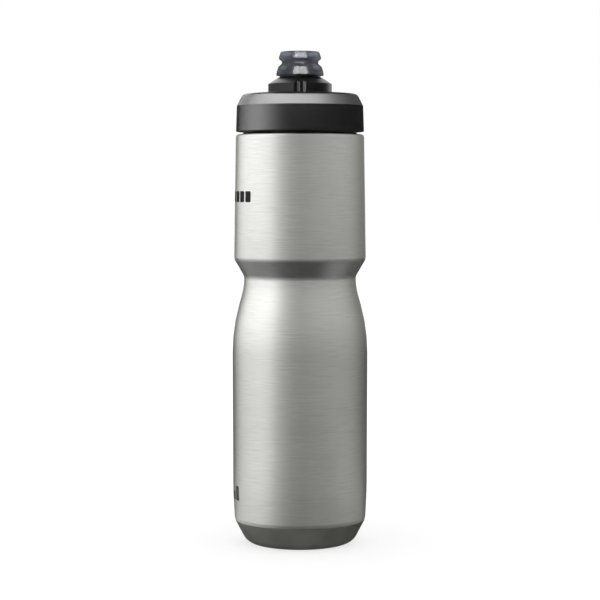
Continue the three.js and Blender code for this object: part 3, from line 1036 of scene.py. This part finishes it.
def glow(name, stops, radiance, dim_colour, grazing):
    """A see-through glow whose strength and colour change with the direction from the bottle."""
    light = Finish(name)
    forward = light.product(light.coordinate("Y"), -1.0)
    angle = light.math("ARCTAN2", light.coordinate("X"), forward)
    ramp = light.add("ValToRGB", {"Fac": light.math("ADD", light.math("DIVIDE", angle, TURN), 0.5)})
    elements = ramp.color_ramp.elements
    while len(elements) > 1:
        elements.remove(elements[-1])
    elements[0].position = stops[0][0] / 360 + 0.5
    elements[0].color = (stops[0][1],) * 3 + (1,)
    for degrees, share in stops[1:]:
        elements.new(degrees / 360 + 0.5).color = (share,) * 3 + (1,)
    level = ramp.outputs["Color"]
    edge_on = light.add("LayerWeight", {"Blend": 0.5}).outputs["Facing"]
    strength = light.product(light.math("POWER", edge_on, float(grazing)), radiance, level)
    inputs = {"Strength": strength, "Color": light.tint(level, dim_colour, WHITE)}
    emission = light.add("Emission", inputs)
    through = light.add("BsdfTransparent")
    light.show(light.add("AddShader", {0: emission.outputs[0], 1: through.outputs[0]}))
    return light.material


def panel(name, stops, outline, radiance, lit, dim_colour=WHITE, grazing=0):
    """A curved sheet of soft light that faces the bottle, and the pieces that it lights.

    stops are (direction in degrees, share of the radiance) from left to right, and outline is its
    upright section as (distance out, height) in metres. Its light is white where the share is 1, and
    takes on dim_colour as the share falls to 0. With grazing, the sheet fades when it is seen face on,
    and the higher the number, the faster.
    """
    sheet = curved_sheet(name, stops[0][0], stops[-1][0], outline)
    sheet.data.materials.append(glow(name + "_glow", stops, radiance, dim_colour, grazing))
    sheet.visible_camera = False
    sheet.visible_shadow = False
    sheet.visible_transmission = False
    receivers = bpy.data.collections.new(name + "_lights")
    for piece in lit:
        receivers.objects.link(piece)
    sheet.light_linking.receiver_collection = receivers


def surroundings():
    """White for the camera, soft daylight for diffuse light, and a dim room for reflections."""
    world = bpy.data.worlds.new("studio")
    bpy.context.scene.world = world
    world.use_nodes = True
    tree = world.node_tree
    back = tree.nodes["Background"]
    path = tree.nodes.new("ShaderNodeLightPath")
    level = tree.nodes.new("ShaderNodeMix")
    level.inputs["A"].default_value = 1.0
    level.inputs["B"].default_value = 0.03
    tree.links.new(path.outputs["Is Glossy Ray"], level.inputs["Factor"])
    tree.links.new(level.outputs["Result"], back.inputs["Strength"])
    back.inputs["Color"].default_value = (1, 1, 1, 1)


def camera():
    """The camera stands at the front, a little above the bottle's middle, and looks slightly down."""
    lens = bpy.data.cameras.new("camera")
    lens.sensor_width = 36
    lens.lens = CAMERA_LENS
    made = bpy.data.objects.new("camera", lens)
    bpy.context.scene.collection.objects.link(made)
    made.location = CAMERA_AT
    made.rotation_euler = (radians(90 - CAMERA_DOWN), 0, 0)
    bpy.context.scene.camera = made


# ------------------------------------------------------------------ build

steel_pieces = [outer_shell(), inner_vessel(), inner_bottom()]
pad = base_pad()
cap_pieces = [cap(), cap_stopper()]
cap_gasket()
collar = lock_nozzle()
nozzle_seal()
valve = mouthpiece()
marks = printed_marks()

kept_nodes = {"outer_bottom": PLAIN, "getter_clip": PLAIN, "getter_pellet": SINTERED, "vacuum_seal": GLASS}
for node, material in kept_nodes.items():
    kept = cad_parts[node]
    kept.data.materials.clear()
    kept.data.materials.append(material)
    steel_pieces.append(kept)

floor()
panel("steel_panel", STEEL_STOPS, arc(-9.5, 65), 1.67, steel_pieces, ROOM_TINT)
panel("floor_card", FLOOR_STOPS, flat(0.045, 0.77, 0.0006), 2.0, steel_pieces, ROOM_TINT, 3)
panel("side_card", SIDE_STOPS, flat(0.11, 0.24, 0.0007), 0.22, steel_pieces, ROOM_TINT)
panel("left_panel", LEFT_STOPS, arc(-20, 25), 2.6, [*cap_pieces, *marks])
panel("top_panel", TOP_STOPS, arc(31, 62), 7.9, cap_pieces)
panel("far_left_panel", FAR_LEFT_STOPS, arc(14, 36), 1.4, cap_pieces)
panel("far_right_panel", FAR_RIGHT_STOPS, arc(16, 36), 0.3, cap_pieces)
panel("collar_panel", COLLAR_STOPS, arc(-20, 25), 1.0, [collar])
panel("collar_top_panel", COLLAR_TOP_STOPS, arc(25, 70), 2.6, [collar])
panel("collar_back_left", COLLAR_BACK_LEFT_STOPS, arc(14, 70), 1.3, [collar])
panel("collar_back_right", COLLAR_BACK_RIGHT_STOPS, arc(10, 42), 1.5, [collar])
panel("pad_panel", PAD_STOPS, arc(-12, 40), 4.1, [pad])
panel("front_panel", FRONT_STOPS, arc(14, 48), 7.5, [valve])
surroundings()
camera()
bpy.context.scene.view_settings.view_transform = "Standard"
